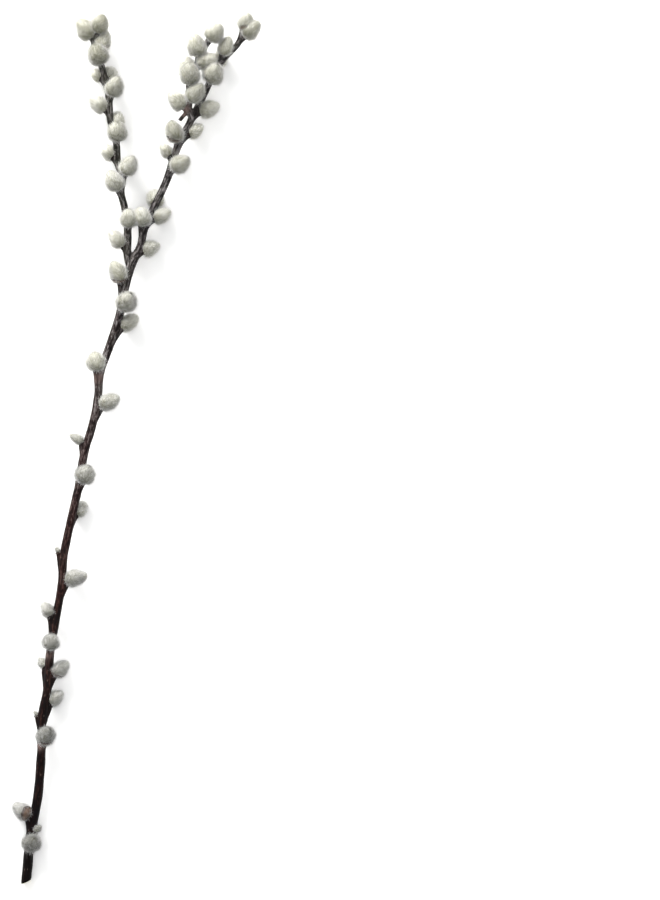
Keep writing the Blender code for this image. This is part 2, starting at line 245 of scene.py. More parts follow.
# A hood's foot, the cup that it forms all round and its ragged edge, as shares of the catkin's
# length, then how its rise narrows, and its thickness, gap and outward curl in millimetres.
HOOD_FOOT = 0.02
HOOD_CUP = 0.12
HOOD_RAGGED = 0.04
HOOD_RAGGED_WAVE = 2.2
HOOD_SEED_STEP = 0.37
HOOD_NARROWING = 1.3
HOOD_THICKNESS = 0.12
HOOD_GAP = 0.04
HOOD_CURL = 0.12
HOOD_SIDES, HOOD_ROWS = 40, 16

# Places where the bark turns red-brown: (x, height, z) and how far that reaches.
WARM_BARK = (
    (25.8, 181.2, 12.2, 1.7), (27.0, 184.0, 12.4, 2.2), (27.4, 188.5, 12.4, 2.6),
    (18.4, 163.4, 11.4, 1.7),
    (-20.8, 38.5, 11.0, 2.9), (-46.9, -111.5, 10.5, 2.4), (-51.7, -161.5, 9.5, 2.2),
)

# Bark: its skin, the stems' tubes in it and how they swell, and how it stands out in low
# ridges and knobs: height, then waves per millimetre across the stem and along it.
BARK_VOXEL = 0.41
SKIN_SMOOTHING, SKIN_SMOOTHINGS = 0.5, 5
TUBE_SIDES, TUBE_STATION = 24, 1.0
STUB_SIDES = 12
TANGENT_STEP = 1.0
SWELL, SWELL_WAVE = 0.05, 0.12
RIDGES = (0.085, 1.5, 0.07)
KNOBS = (0.12, 0.35, 0.16)
# The grain's own coordinates: the step between points of the centre line, and how far apart
# the stems' grains start. Near a bud's seat, within this reach, the bark is rusty.
LINE_STEP = 0.5
GRAIN_OFFSET = 1000.0
RUSTY_REACH = 2.6
# In metres: where the bark's run of colour starts and ends, and where its green sets in.
COLOUR_RUN = (-0.236, 0.236)
GREEN_SIDE = (0.004, -0.010)

# Photograph and camera: the photo's width and height in pixels, the height of the view in
# millimetres, and the gap at the left, which keeps the branch at the photo's place.
PHOTO_WIDTH, PHOTO_HEIGHT = 660, 900
VIEW_HEIGHT = 488.0
LEFT_MARGIN = 6.5
LENS = 110.0
SENSOR = 36.0
CLIP_START, CLIP_END = 0.05, 20.0

# Stage: half the floor's side in metres, its glow, the world's strength and how bright it is
# from the cut end to beyond the tips, and the lights: place, size, power and colour.
HALF_FLOOR = 3.0
FLOOR_GLOW = 0.12
WORLD_STRENGTH = 0.84
WORLD_GLOW = (0.50, 1.50)
LIGHTS = {
    "key": ((-0.85, 1.6, 0.8), 1.2, 75.0, (1.0, 0.985, 0.965)),
    "fill": ((0.5, 0.2, 1.9), 1.6, 6.5, (0.97, 0.985, 1.0)),
}


def unit(vectors):
    """Scale vectors to length one."""
    vectors = np.asarray(vectors, float)
    return vectors / np.maximum(np.linalg.norm(vectors, axis=-1, keepdims=True), 1e-9)


def hermite(points, height):
    """Follow a smooth curve through a stem's points, as (x, y, z, radius) at a height."""
    rows = np.array(points)
    heights = rows[:, 1]
    slopes = np.gradient(rows, heights, axis=0)
    below = int(np.clip(np.searchsorted(heights, height) - 1, 0, len(heights) - 2))
    span = heights[below + 1] - heights[below]
    t = (height - heights[below]) / span
    return (
        rows[below] * (2 * t ** 3 - 3 * t ** 2 + 1)
        + slopes[below] * span * (t ** 3 - 2 * t ** 2 + t)
        + rows[below + 1] * (3 * t ** 2 - 2 * t ** 3)
        + slopes[below + 1] * span * (t ** 3 - t ** 2)
    )


def stem_place(points, height):
    """Return a stem's centre, direction and radius at a height."""
    here = hermite(points, height)
    ahead = hermite(points, min(height + TANGENT_STEP, points[-1][1]))
    behind = hermite(points, max(height - TANGENT_STEP, points[0][1]))
    return here[:3], unit(ahead[:3] - behind[:3]), float(here[3])


def side_and_front(direction):
    """Return the two axes across a direction: to its right, and up from the surface."""
    side = unit(np.cross(direction, (0.0, 0.0, 1.0)))
    return side, unit(np.cross(side, direction))


def bud_seat(points, bud):
    """Return a bud's seat on the stem's surface, its direction and its outward direction."""
    centre, direction, radius = stem_place(points, bud.height)
    side, front = side_and_front(direction)
    roll, lean = math.radians(bud.roll), math.radians(bud.lean)
    outward = side * math.sin(roll) + front * math.cos(roll)
    pointing = direction * math.cos(lean) + outward * math.sin(lean)
    return centre + outward * (radius + SPUR_REACH), pointing, outward


def ring(centre, direction, radius, sides):
    """Return the points of a ring across a direction."""
    side, front = side_and_front(direction)
    angles = np.arange(sides) * (2 * math.pi / sides)
    spokes = np.outer(np.sin(angles), side) + np.outer(np.cos(angles), front)
    return centre + spokes * radius


def loft_triangles(ring_count, sides, first=0, close_foot=True, close_top=True):
    """Return the triangles that join rings of equal count, with fans over the two ends."""
    low = np.arange(ring_count - 1)[:, None] * sides + np.arange(sides)[None, :]
    after = np.arange(ring_count - 1)[:, None] * sides + (np.arange(sides)[None, :] + 1) % sides
    low, after = low.ravel(), after.ravel()
    parts = [
        np.stack([low, after, after + sides], axis=1),
        np.stack([low, after + sides, low + sides], axis=1),
    ]
    fan = np.arange(1, sides - 1)
    if close_foot:
        parts.append(np.stack([np.zeros_like(fan), fan + 1, fan], axis=1))
    if close_top:
        top = (ring_count - 1) * sides
        parts.append(np.stack([np.full_like(fan, top), top + fan, top + fan + 1], axis=1))
    return np.concatenate(parts) + first


def corner_places(uv, triangles, period):
    """Return each triangle corner's place on a map, with the last strip of a roll unbroken."""
    corners = uv[triangles]
    across = corners[:, :, 0]
    torn = across.max(axis=1) - across.min(axis=1) > period / 2
    behind = across < across.mean(axis=1, keepdims=True)
    corners[:, :, 0] += np.where(torn[:, None] & behind, period, 0.0)
    return corners.reshape(-1, 2)


def add_object(name, data):
    """Add an object to the scene."""
    added = bpy.data.objects.new(name, data)
    bpy.context.scene.collection.objects.link(added)
    return added


def make_mesh(name, points, triangles, materials, material_index=None, maps=None, normals=None):
    """Make a smooth mesh object from points in millimetres and triangles."""
    mesh = bpy.data.meshes.new(name)
    points = (np.asarray(points) - FOOTPRINT_MIDDLE) * MM
    mesh.vertices.add(len(points))
    mesh.vertices.foreach_set("co", points.astype(np.float32).ravel())
    mesh.loops.add(len(triangles) * 3)
    mesh.loops.foreach_set("vertex_index", triangles.astype(np.int32).ravel())
    mesh.polygons.add(len(triangles))
    starts = np.arange(len(triangles), dtype=np.int32) * 3
    mesh.polygons.foreach_set("loop_start", starts)
    mesh.polygons.foreach_set("loop_total", np.full(len(triangles), 3, np.int32))
    if material_index is not None:
        mesh.polygons.foreach_set("material_index", np.asarray(material_index, np.int32))
    for material in materials:
        mesh.materials.append(material)
    mesh.update(calc_edges=True)
    mesh.shade_smooth()
    for map_name, corners in (maps or {}).items():
        layer = mesh.uv_layers.new(name=map_name)
        layer.data.foreach_set("uv", corners.astype(np.float32).ravel())
    if normals is not None:
        mesh.normals_split_custom_set_from_vertices(normals.tolist())
    return add_object(name, mesh)


# Materials


class Nodes:
    """A short way to write a material's node tree."""

    def __init__(self, name):
        self.material = bpy.data.materials.new(name)
        self.material.use_nodes = True
        self.tree = self.material.node_tree
        self.shader = self.tree.nodes["Principled BSDF"]

    def add(self, kind, inputs=None, **settings):
        """Add a node, set its properties, and link or set its inputs."""
        node = self.tree.nodes.new(kind)
        for key, value in settings.items():
            setattr(node, key, value)
        self.feed(node, inputs or {})
        return node

    def feed(self, node, inputs):
        """Link each input to a socket, or set its value."""
        for key, value in inputs.items():
            if isinstance(value, bpy.types.NodeSocket):
                self.tree.links.new(value, node.inputs[key])
            else:
                node.inputs[key].default_value = value

    def ramp(self, factor, stops):
        """Add a colour ramp with (place, colour) stops."""
        node = self.add("ShaderNodeValToRGB", {"Fac": factor})
        elements = node.color_ramp.elements
        while len(elements) < len(stops):
            elements.new(0.5)
        for element, (place, colour) in zip(elements, stops):
            element.position = place
            element.color = (*colour, 1.0)
        return node.outputs["Color"]

    def mix(self, factor, first, second):
        """Mix two colours."""
        node = self.add("ShaderNodeMix", data_type="RGBA")
        for socket, value in zip((0, 6, 7), (factor, first, second)):
            if isinstance(value, bpy.types.NodeSocket):
                self.tree.links.new(value, node.inputs[socket])
            elif socket == 0:
                node.inputs[socket].default_value = value
            else:
                node.inputs[socket].default_value = (*value, 1.0)
        return node.outputs[2]

    def maths(self, operation, first, second=0.0, clamp=False):
        """Do one sum."""
        node = self.add("ShaderNodeMath", {0: first, 1: second}, operation=operation)
        node.use_clamp = clamp
        return node.outputs[0]

    def times(self, first, second):
        """Multiply two values."""
        return self.maths("MULTIPLY", first, second)

    def scaled(self, vector, scale):
        """Stretch a vector."""
        node = self.add("ShaderNodeVectorMath", {0: vector, 1: scale}, operation="MULTIPLY")
        return node.outputs[0]

    def place(self):
        """Return the place on the object."""
        return self.add("ShaderNodeTexCoord").outputs["Object"]

    def strand_map(self):
        """Return the place on the strand map."""
        return self.add("ShaderNodeUVMap", uv_map=STRAND_MAP).outputs[0]

    def parts(self, vector):
        """Take a vector apart, into X, Y and Z."""
        return self.add("ShaderNodeSeparateXYZ", {0: vector}).outputs

    def bump(self, height, strength, distance):
        """Return a normal that follows a height."""
        inputs = {"Height": height, "Strength": strength, "Distance": distance}
        return self.add("ShaderNodeBump", inputs).outputs[0]

    def noise(self, vector, scale, detail=3.0, roughness=0.5):
        """Return a noise's value."""
        inputs = {"Vector": vector, "Scale": scale, "Detail": detail, "Roughness": roughness}
        return self.add("ShaderNodeTexNoise", inputs).outputs["Fac"]

    def spread(self, value, low, high, to_low=0.0, to_high=1.0):
        """Map a range of a value to another, and clamp it."""
        inputs = {0: value, 1: low, 2: high, 3: to_low, 4: to_high}
        return self.add("ShaderNodeMapRange", inputs).outputs[0]


def bark_ground(n, grain, share, sideways):
    """Return the bark's plain colour: its run from foot to tip, a green side and patches."""
    # The near-black foot of this run, with no patches there, is partly painted shade.
    colour = n.ramp(share, (
        (0.0, (0.0018, 0.0008, 0.0008)), (0.24, (0.0050, 0.0010, 0.0009)),
        (0.42, (0.0160, 0.0046, 0.0040)), (0.58, (0.0260, 0.0172, 0.0166)),
        (0.78, (0.0255, 0.0232, 0.0240)), (1.0, (0.0185, 0.0175, 0.0172)),
    ))
    greener = n.times(n.spread(sideways, *GREEN_SIDE), n.spread(share, 0.66, 0.76))
    colour = n.mix(n.times(greener, 0.6), colour, (0.042, 0.044, 0.032))
    patches = n.spread(n.noise(n.scaled(grain, (1.0, 1.0, 0.35)), 0.22), 0.42, 0.66)
    patches = n.times(patches, n.spread(share, 0.15, 0.75, 0.0, 0.40))
    return n.mix(patches, colour, (0.085, 0.078, 0.066))


def bark_lines(n, grain, share, colour, lines, streaks):
    """Return the bark's colour with pale and dark lines, streaks and specks along the stem."""
    specks = n.noise(n.scaled(grain, (1.0, 1.0, 0.55)), 0.9, 2.0, 0.7)
    marks = n.maths("ADD", n.times(lines, 0.3), n.times(streaks, 0.4))
    marks = n.maths("ADD", marks, n.times(specks, 0.3))
    # The pale marks are partly real pale grain and partly painted highlight along the stem.
    pale = n.mix(n.spread(share, 0.35, 0.60), (0.120, 0.060, 0.050), (0.27, 0.25, 0.25))
    pale = n.mix(0.6, colour, pale)
    # Fewer pale marks at the foot keep it near black, partly as painted shade.
    pale_share = n.spread(share, 0.02, 0.6, 0.10, 1.0)
    colour = n.mix(n.times(n.spread(marks, 0.51, 0.58), pale_share), colour, pale)
    dark = n.times(n.spread(marks, 0.50, 0.44), 0.9)
    return n.mix(dark, colour, (0.004, 0.003, 0.0035))


def bark_material():
    """Bark: satin, near black at the foot and charcoal above, with fine lines and pores."""
    n = Nodes("willow_bark")
    grain = n.add("ShaderNodeAttribute", attribute_name="grain").outputs["Vector"]
    near_bud = n.add("ShaderNodeAttribute", attribute_name="near_bud").outputs["Fac"]
    warm = n.add("ShaderNodeAttribute", attribute_name="warm").outputs["Fac"]
    where = n.parts(n.place())
    wander = n.times(n.maths("SUBTRACT", n.noise(grain, 0.05), 0.5), 0.16)
    share = n.maths("ADD", n.spread(where["Y"], *COLOUR_RUN), wander, clamp=True)
    lines = n.noise(n.scaled(grain, (1.0, 1.0, 0.07)), 2.2, 4.0, 0.6)
    streaks = n.noise(n.scaled(grain, (1.0, 1.0, 0.16)), 0.85, 3.0, 0.6)
    colour = bark_ground(n, grain, share, where["X"])
    colour = bark_lines(n, grain, share, colour, lines, streaks)
    # Painted shade darkens the stem's flanks; bud seats are rusty and a few places red-brown.
    painted_flank_shade = n.spread(n.maths("ABSOLUTE", n.parts(grain)["X"]), 1.2, 2.2, 0.0, 0.6)
    colour = n.mix(painted_flank_shade, colour, (0.005, 0.004, 0.0045))
    rusty = n.times(near_bud, n.spread(n.noise(grain, 0.8), 0.35, 0.65))
    colour = n.mix(n.times(rusty, 0.30), colour, (0.062, 0.030, 0.024))
    russet = n.times(warm, n.spread(streaks, 0.3, 0.62, 0.35, 1.0))
    colour = n.mix(n.times(russet, 0.9), colour, (0.210, 0.145, 0.130))
    pores = n.add("ShaderNodeTexVoronoi", {
        "Vector": n.scaled(grain, (1.0, 1.0, 0.45)), "Scale": 0.42, "Randomness": 1.0,
    }).outputs["Distance"]
    pore = n.spread(pores, 0.14, 0.06)
    colour = n.mix(n.times(pore, 0.45), colour, (0.17, 0.12, 0.10))
    rough = n.spread(lines, 0.3, 0.7, 0.40, 0.60)
    relief = n.maths("ADD", n.times(lines, 0.6), n.times(pore, 0.5))
    n.feed(n.shader, {
        "Base Color": colour, "Roughness": rough, "Specular IOR Level": 0.06,
        "Normal": n.bump(relief, 0.5, 0.00022),
    })
    return n.material


def silk_material():
    """Silk: each strand runs from a grey-green root to a silver-white tip."""
    n = Nodes("catkin_silk")
    parts = n.parts(n.strand_map())
    along, tone = parts["Y"], n.spread(parts["X"], 0.0, SILK_PART)
    # Dark roots are partly the core showing through and partly painted shade deep in the silk.
    cool = n.ramp(along, (
        (0.0, (0.100, 0.100, 0.080)), (0.35, (0.25, 0.25, 0.225)),
        (0.7, (0.58, 0.58, 0.57)), (1.0, (0.84, 0.84, 0.845)),
    ))
    warm = n.ramp(along, (
        (0.0, (0.185, 0.182, 0.095)), (0.35, (0.55, 0.54, 0.40)),
        (0.7, (0.94, 0.935, 0.86)), (1.0, (0.985, 0.985, 0.96)),
    ))
    colour = n.mix(tone, cool, warm)
    n.feed(n.shader, {"Base Color": colour, "Roughness": 0.42, "Specular IOR Level": 0.5})
    n.shader.inputs["Sheen Weight"].default_value = 1.0
    n.shader.inputs["Sheen Roughness"].default_value = 0.5
    return n.material


def catkin_body_material():
    """The catkin under its silk: matt, grey-green and mottled."""
    n = Nodes("catkin_body")
    mottle = n.noise(n.place(), 900.0, 4.0, 0.6)
    colour = n.ramp(mottle, (
        (0.3, (0.12, 0.12, 0.085)), (0.5, (0.22, 0.22, 0.165)), (0.75, (0.36, 0.36, 0.29)),
    ))
    normal = n.bump(mottle, 0.5, 0.0002)
    n.feed(n.shader, {"Base Color": colour, "Roughness": 0.8, "Normal": normal})
    return n.material


def scale_material():
    """Bud scales: glossy and brown, darker at the foot and the rim, with fine ribs."""
    n = Nodes("bud_scale")
    on_map = n.strand_map()
    blotch = n.noise(n.place(), 700.0, 3.0)
    along = n.maths("ADD", n.parts(on_map)["Y"], n.times(blotch, 0.35))
    colour = n.ramp(along, (
        (0.1, (0.016, 0.009, 0.006)), (0.45, (0.056, 0.028, 0.014)),
        (0.8, (0.098, 0.054, 0.029)), (1.0, (0.030, 0.018, 0.014)),
    ))
    waves = {"Vector": on_map, "Scale": 9.0, "Distortion": 1.5}
    ribs = n.add("ShaderNodeTexWave", waves, bands_direction="X").outputs["Fac"]
    normal = n.bump(ribs, 0.3, 0.0001)
    n.feed(n.shader, {"Base Color": colour, "Roughness": 0.34, "Normal": normal})
    return n.material


def cut_wood_material():
    """Fresh cut wood: pale, with growth lines round a small brown pith."""
    n = Nodes("cut_wood")
    outward = n.parts(n.strand_map())["Y"]
    fibres = n.noise(n.place(), 2600.0, 3.0, 0.6)
    uneven = n.maths("ADD", outward, n.times(n.maths("SUBTRACT", fibres, 0.5), 0.12))
    colour = n.ramp(uneven, (
        (0.0, (0.16, 0.085, 0.04)), (0.12, (0.20, 0.12, 0.06)), (0.17, (0.62, 0.50, 0.28)),
        (0.52, (0.66, 0.56, 0.33)), (0.57, (0.52, 0.41, 0.22)), (0.62, (0.68, 0.60, 0.38)),
        (0.84, (0.58, 0.55, 0.30)), (0.9, (0.22, 0.26, 0.10)), (0.97, (0.05, 0.03, 0.02)),
    ))
    normal = n.bump(fibres, 0.4, 0.0001)
    n.feed(n.shader, {"Base Color": colour, "Roughness": 0.7, "Normal": normal})
    return n.material


def floor_material():
    """A plain pale surface, faintly uneven and lit from below like a light table."""
    n = Nodes("pale_surface")
    faint = n.noise(n.place(), 18.0, 4.0)
    colour = n.ramp(faint, ((0.3, (0.955, 0.955, 0.95)), (0.7, (0.975, 0.975, 0.97))))
    n.feed(n.shader, {"Base Color": colour, "Roughness": 0.85})
    n.shader.inputs["Emission Color"].default_value = (1.0, 1.0, 1.0, 1.0)
    n.shader.inputs["Emission Strength"].default_value = FLOOR_GLOW
    return n.material


# Bark


def tube(points):
    """Return a stem's tube as rings of points, from its foot to its top."""
    foot, top = points[0][1], points[-1][1]
    stations = round((top - foot) / TUBE_STATION)
    rings = []
    for height in np.linspace(foot, top, stations + 1):
        centre, direction, radius = stem_place(points, height)
        swell = 1.0 + SWELL * noise.noise(Vector((centre[0], height * SWELL_WAVE, 0.0)))
        rings.append(ring(centre, direction, radius * swell, TUBE_SIDES))
    return rings


def spur(points, bud):
    """Return the wedge of stem under a bud as rings, curving out to a shelf with a rim."""
    seat, pointing, outward = bud_seat(points, bud)
    kind = LONG_SPUR if bud.height < LONG_SPURS_BELOW else SPUR
    lowest = points[0][1] + TUBE_STATION
    start, direction, radius = stem_place(points, max(bud.height - kind.run, lowest))
    bend = seat - pointing * kind.back - direction * kind.down - outward * kind.inward
    shelf = min(SHELF_RADIUS, bud.width * SHELF_SHARE_OF_BUD)
    girths = [radius * share for share in SPUR_FOOT]
    girths += SPUR_MIDDLE
    girths += [shelf * share for share in SPUR_RIM]
    rings = []
    for step, girth in zip(SPUR_STEPS, girths):
        centre = start * (1 - step) ** 2 + bend * 2 * step * (1 - step) + seat * step ** 2
        line = unit((bend - start) * (1 - step) + (seat - bend) * step)
        rings.append(ring(centre, line, min(girth, shelf), SPUR_SIDES))
    return rings


def rings_to_solid(parts):
    """Join lists of rings into one set of points and triangles."""
    points, triangles, first = [], [], 0
    for rings in parts:
        sides = len(rings[0])
        points.extend(rings)
        triangles.append(loft_triangles(len(rings), sides, first))
        first += sides * len(rings)
    return np.concatenate(points), np.concatenate(triangles)


def cut_foot(rings):
    """Slope the foot of the main stem, as a slanting cut leaves it."""
    middle = rings[0].mean(axis=0)
    span = 2 * MAIN_STEM[0][3]
    for number, share in ((0, 1.0), (1, 0.5)):
        rings[number][:, 1] += share * CUT_SLOPE * (rings[0][:, 0] - middle[0]) / span
    return rings


def stub_rings():
    """Return the rings of the cut-back stub."""
    centres = np.array([row[:3] for row in STUB])
    rings = []
    for number, row in enumerate(STUB):
        line = centres[min(number + 1, len(STUB) - 1)] - centres[max(number - 1, 0)]
        rings.append(ring(centres[number], unit(line), row[3], STUB_SIDES))
    return rings


def centre_line():
    """Return points along every stem with their directions, and how far along they are."""
    centres, directions, alongs = [], [], []
    for offset, (_, points, _) in enumerate(GROWTH):
        heights = np.arange(points[0][1], points[-1][1], LINE_STEP)
        travelled = GRAIN_OFFSET * offset
        previous = None
        for height in heights:
            centre, direction, _ = stem_place(points, height)
            if previous is not None:
                travelled += float(np.linalg.norm(centre - previous))
            previous = centre
            centres.append(centre)
            directions.append(direction)
            alongs.append(travelled)
    return np.array(centres), np.array(directions), np.array(alongs)


def bark_coordinates(points):
    """Return each point's place on the bark, unrolled: two across the stem, one along it."""
    centres, directions, alongs = centre_line()
    tree = kdtree.KDTree(len(centres))
    for number, centre in enumerate(centres):
        tree.insert(Vector(centre), number)
    tree.balance()
    nearest = np.array([tree.find(Vector(point))[1] for point in points])
    offset = points - centres[nearest]
    line = directions[nearest]
    side = unit(np.cross(line, (0.0, 0.0, 1.0)))
    front = np.cross(side, line)
    across = np.stack([(offset * side).sum(axis=1), (offset * front).sum(axis=1)], axis=1)
    along = alongs[nearest] + (offset * line).sum(axis=1)
    return np.column_stack([across, along])


def bud_nearness(points):
    """Return how near each point lies to a bud's seat, from 0 to 1."""
    seats = [bud_seat(line, Bud(*row))[0] for _, line, buds in GROWTH for row in buds]
    nearness = np.zeros(len(points))
    for seat in seats:
        gap = np.linalg.norm(points - seat, axis=1)
        nearness = np.maximum(nearness, np.exp(-(gap / RUSTY_REACH) ** 2))
    return nearness


def warmth(points):
    """Return how far each point lies within a red-brown place, from 0 to 1."""
    warm = np.zeros(len(points))
    for x, height, z, reach in WARM_BARK:
        gap = np.linalg.norm(points - np.array((x, height, z)), axis=1)
        warm = np.maximum(warm, np.exp(-(gap / reach) ** 2))
    return warm


def bark_relief(coordinates):
    """Return how far the bark stands out: long low ridges and a few knobs."""
    relief = np.zeros(len(coordinates))
    for height, across, along in (RIDGES, KNOBS):
        waves = coordinates * (across, across, along)
        relief += [height * noise.noise(Vector(wave)) for wave in waves]
    return relief


def make_bark(material):
    """Make the stems and spurs as one skin that flows from one into the next."""
    parts = [tube(points) for _, points, _ in GROWTH]
    parts[0] = cut_foot(parts[0])
    parts.append(stub_rings())
    for _, points, buds in GROWTH:
        parts.extend(spur(points, Bud(*row)) for row in buds)
    points, triangles = rings_to_solid(parts)
    rough = make_mesh("bark_in_parts", points, triangles, [material])
    remesh = rough.modifiers.new("skin", "REMESH")
    remesh.mode = "VOXEL"
    remesh.voxel_size = BARK_VOXEL * MM
    remesh.adaptivity = 0.0
    flow = rough.modifiers.new("flow", "SMOOTH")
    flow.factor = SKIN_SMOOTHING
    flow.iterations = SKIN_SMOOTHINGS
    bpy.context.view_layer.update()
    depsgraph = bpy.context.evaluated_depsgraph_get()
    skin = bpy.data.meshes.new_from_object(rough.evaluated_get(depsgraph))
    bpy.data.objects.remove(rough)
    count = len(skin.vertices)
    places, normals = np.empty(count * 3, np.float32), np.empty(count * 3, np.float32)
    skin.vertices.foreach_get("co", places)
    skin.vertices.foreach_get("normal", normals)
    places = places.reshape(-1, 3) / MM + FOOTPRINT_MIDDLE
    coordinates = bark_coordinates(places)
    places += normals.reshape(-1, 3) * bark_relief(coordinates)[:, None]
    places[:, 2] = np.maximum(places[:, 2], CLEAR_OF_SURFACE)
    moved = (places - FOOTPRINT_MIDDLE) * MM
    skin.vertices.foreach_set("co", moved.astype(np.float32).ravel())
    grain = skin.attributes.new("grain", "FLOAT_VECTOR", "POINT")
    grain.data.foreach_set("vector", coordinates.astype(np.float32).ravel())
    for name, values in (("near_bud", bud_nearness(places)), ("warm", warmth(places))):
        layer = skin.attributes.new(name, "FLOAT", "POINT")
        layer.data.foreach_set("value", values.astype(np.float32))
    skin.materials.clear()
    skin.materials.append(material)
    skin.shade_smooth()
    skin.update()
    return add_object("bark", skin)


def make_cut_face(material):
    """Make the slanting cut at the foot: a disc that the knife left slightly hollow."""
    centre, direction, radius = stem_place(MAIN_STEM, MAIN_STEM[0][1])
    around = np.linspace(0.0, 1.0, CUT_SIDES)
    rings, uv = [], []
    for share in CUT_RINGS:
        points = ring(centre, direction, radius * share * CUT_SHARE, CUT_SIDES)
        points[:, 1] += CUT_SLOPE * (points[:, 0] - centre[0]) / (2 * radius)
        dish = CUT_HOLLOW * (1 - share ** 2) - CUT_PROUD
        rings.append(points + direction * dish)
        uv.append(np.column_stack([around, np.full(CUT_SIDES, share)]))
    points = np.concatenate(rings)
    points[:, 2] = np.maximum(points[:, 2], CLEAR_OF_SURFACE)
    triangles = loft_triangles(len(rings), CUT_SIDES, close_foot=False)[:, ::-1]
    maps = {STRAND_MAP: np.concatenate(uv)[triangles].reshape(-1, 2)}
    return make_mesh("cut_face", points, triangles, [material], maps=maps)


# Catkins


def catkin_radius(share, belly):
    """Return a catkin's radius, as a share of its widest, along its length from foot to tip."""
    share = np.clip(share, *CATKIN_BLUNT_ENDS)
    return np.sin(math.pi * share ** belly) ** CATKIN_FULLNESS


class CatkinShape:
    """The egg-shaped, softly lumpy body that a catkin's silk grows from."""

    def __init__(self, points, bud, seed, body_share, tone_and_painted_light=1.0):
        seat, self.line, outward = bud_seat(points, bud)
        rng = np.random.default_rng(SHAPE_SEEDS + seed)
        self.foot = seat - self.line * CATKIN_SUNK
        self.out = unit(outward - self.line * outward.dot(self.line))
        self.across = np.cross(self.line, self.out)
        self.length = bud.length * BODY_LENGTH_SHARE
        self.girth = bud.width / 2 * body_share
        self.tone = np.interp(bud.height, *TONE_AT) + rng.uniform(-TONE_SPREAD, TONE_SPREAD)
        self.tone_and_painted_light = tone_and_painted_light
        self.belly = CATKIN_BELLY + rng.uniform(-BELLY_SPREAD, BELLY_SPREAD)
        self.lump_turns = rng.uniform(0.0, 2 * math.pi, len(LUMPS))
        self.speck_turns = rng.uniform(0.0, 2 * math.pi, 3)
        self.shares = np.linspace(0.0, 1.0, SKIN_STATIONS)
        radii = catkin_radius(self.shares, self.belly) * self.girth
        slopes = np.gradient(radii, self.shares * self.length)
        bands = radii * np.sqrt(1 + slopes ** 2) * 2 * math.pi * self.length
        bands /= SKIN_STATIONS - 1
        self.area = float(bands.sum())
        self.cumulative = np.cumsum(bands) / bands.sum()

    def share_at(self, part_of_area):
        """Return the share of the length that has this part of the skin below it."""
        return np.interp(part_of_area, self.cumulative, self.shares)

    def relief(self, share, angle):
        """Return how much the skin bulges, least at its two ends."""
        bulge = 0.0
        for (size, round_count, along_count), turn in zip(LUMPS, self.lump_turns):
            wave = round_count * angle + 2 * math.pi * along_count * share + turn
            bulge = bulge + size * np.cos(wave)
        return bulge * np.sin(math.pi * np.clip(share, 0.0, 1.0))

    def place(self, share, angle):
        """Return points of the skin."""
        spokes = np.outer(np.cos(angle) * CATKIN_FLAT, self.out)
        spokes += np.outer(np.sin(angle), self.across)
        round_body = catkin_radius(share, self.belly) * self.girth
        radius = round_body * (1 + self.relief(share, angle))
        return self.foot + np.outer(share * self.length, self.line) + spokes * radius[:, None]

    def specks(self, points):
        """Return how far each point lies in a dark speck, from 0 to 1."""
        axes = np.stack([self.line, self.out, self.across], axis=1)
        waves = np.sin((points - self.foot) @ axes * SPECK_WAVE + self.speck_turns).prod(axis=1)
        low, high = SPECK_EDGE
        return np.clip((waves - low) / (high - low), 0.0, 1.0)

    def skin(self, share, angle):
        """Return points of the skin, with their normals and their directions to the tip."""
        points = self.place(share, angle)
        along = self.place(share + SHARE_STEP, angle) - self.place(share - SHARE_STEP, angle)
        around = self.place(share, angle + ANGLE_STEP) - self.place(share, angle - ANGLE_STEP)
        normals = unit(np.cross(around, along))
        spokes = np.outer(np.cos(angle), self.out) + np.outer(np.sin(angle), self.across)
        slope = (along * spokes).sum(axis=1) / np.maximum((along * self.line).sum(axis=1), 1e-6)
        uphill = unit(self.line + spokes * np.clip(slope, *SLOPE_LIMITS)[:, None])
        return points, normals, uphill


def body_mesh(shape):
    """Return the body's points, normals, triangles and places on the bake map."""
    angles = np.arange(BODY_SIDES) * (2 * math.pi / BODY_SIDES)
    period = SKIN_PART[1] - SKIN_PART[0]
    across = SKIN_PART[0] + period * angles / (2 * math.pi)
    points, normals, uv = [], [], []
    for share in np.linspace(0.0, 1.0, BODY_RINGS):
        places, outward, _ = shape.skin(np.full(BODY_SIDES, share), angles)
        points.append(places)
        normals.append(outward)
        up = SKIN_MARGIN + (1 - 2 * SKIN_MARGIN) * share
        uv.append(np.column_stack([across, np.full(BODY_SIDES, up)]))
    triangles = loft_triangles(BODY_RINGS, BODY_SIDES)
    corners = corner_places(np.concatenate(uv), triangles, period)
    return np.concatenate(points), np.concatenate(normals), triangles, corners


def lay_locks(shape):
    """Return the roots and tips of the locks that draw a catkin's strands together."""
    count = max(FEWEST_LOCKS, int(shape.area * LOCKS_PER_MM2))
    share = shape.share_at((np.arange(count) + 0.5) / count)
    angle = np.arange(count) * GOLDEN_ANGLE + shape.lump_turns[0]
    roots, normals, uphill = shape.skin(share, angle)
    reach, lift = LOCK_TIP
    return roots, roots + uphill * reach + normals * lift


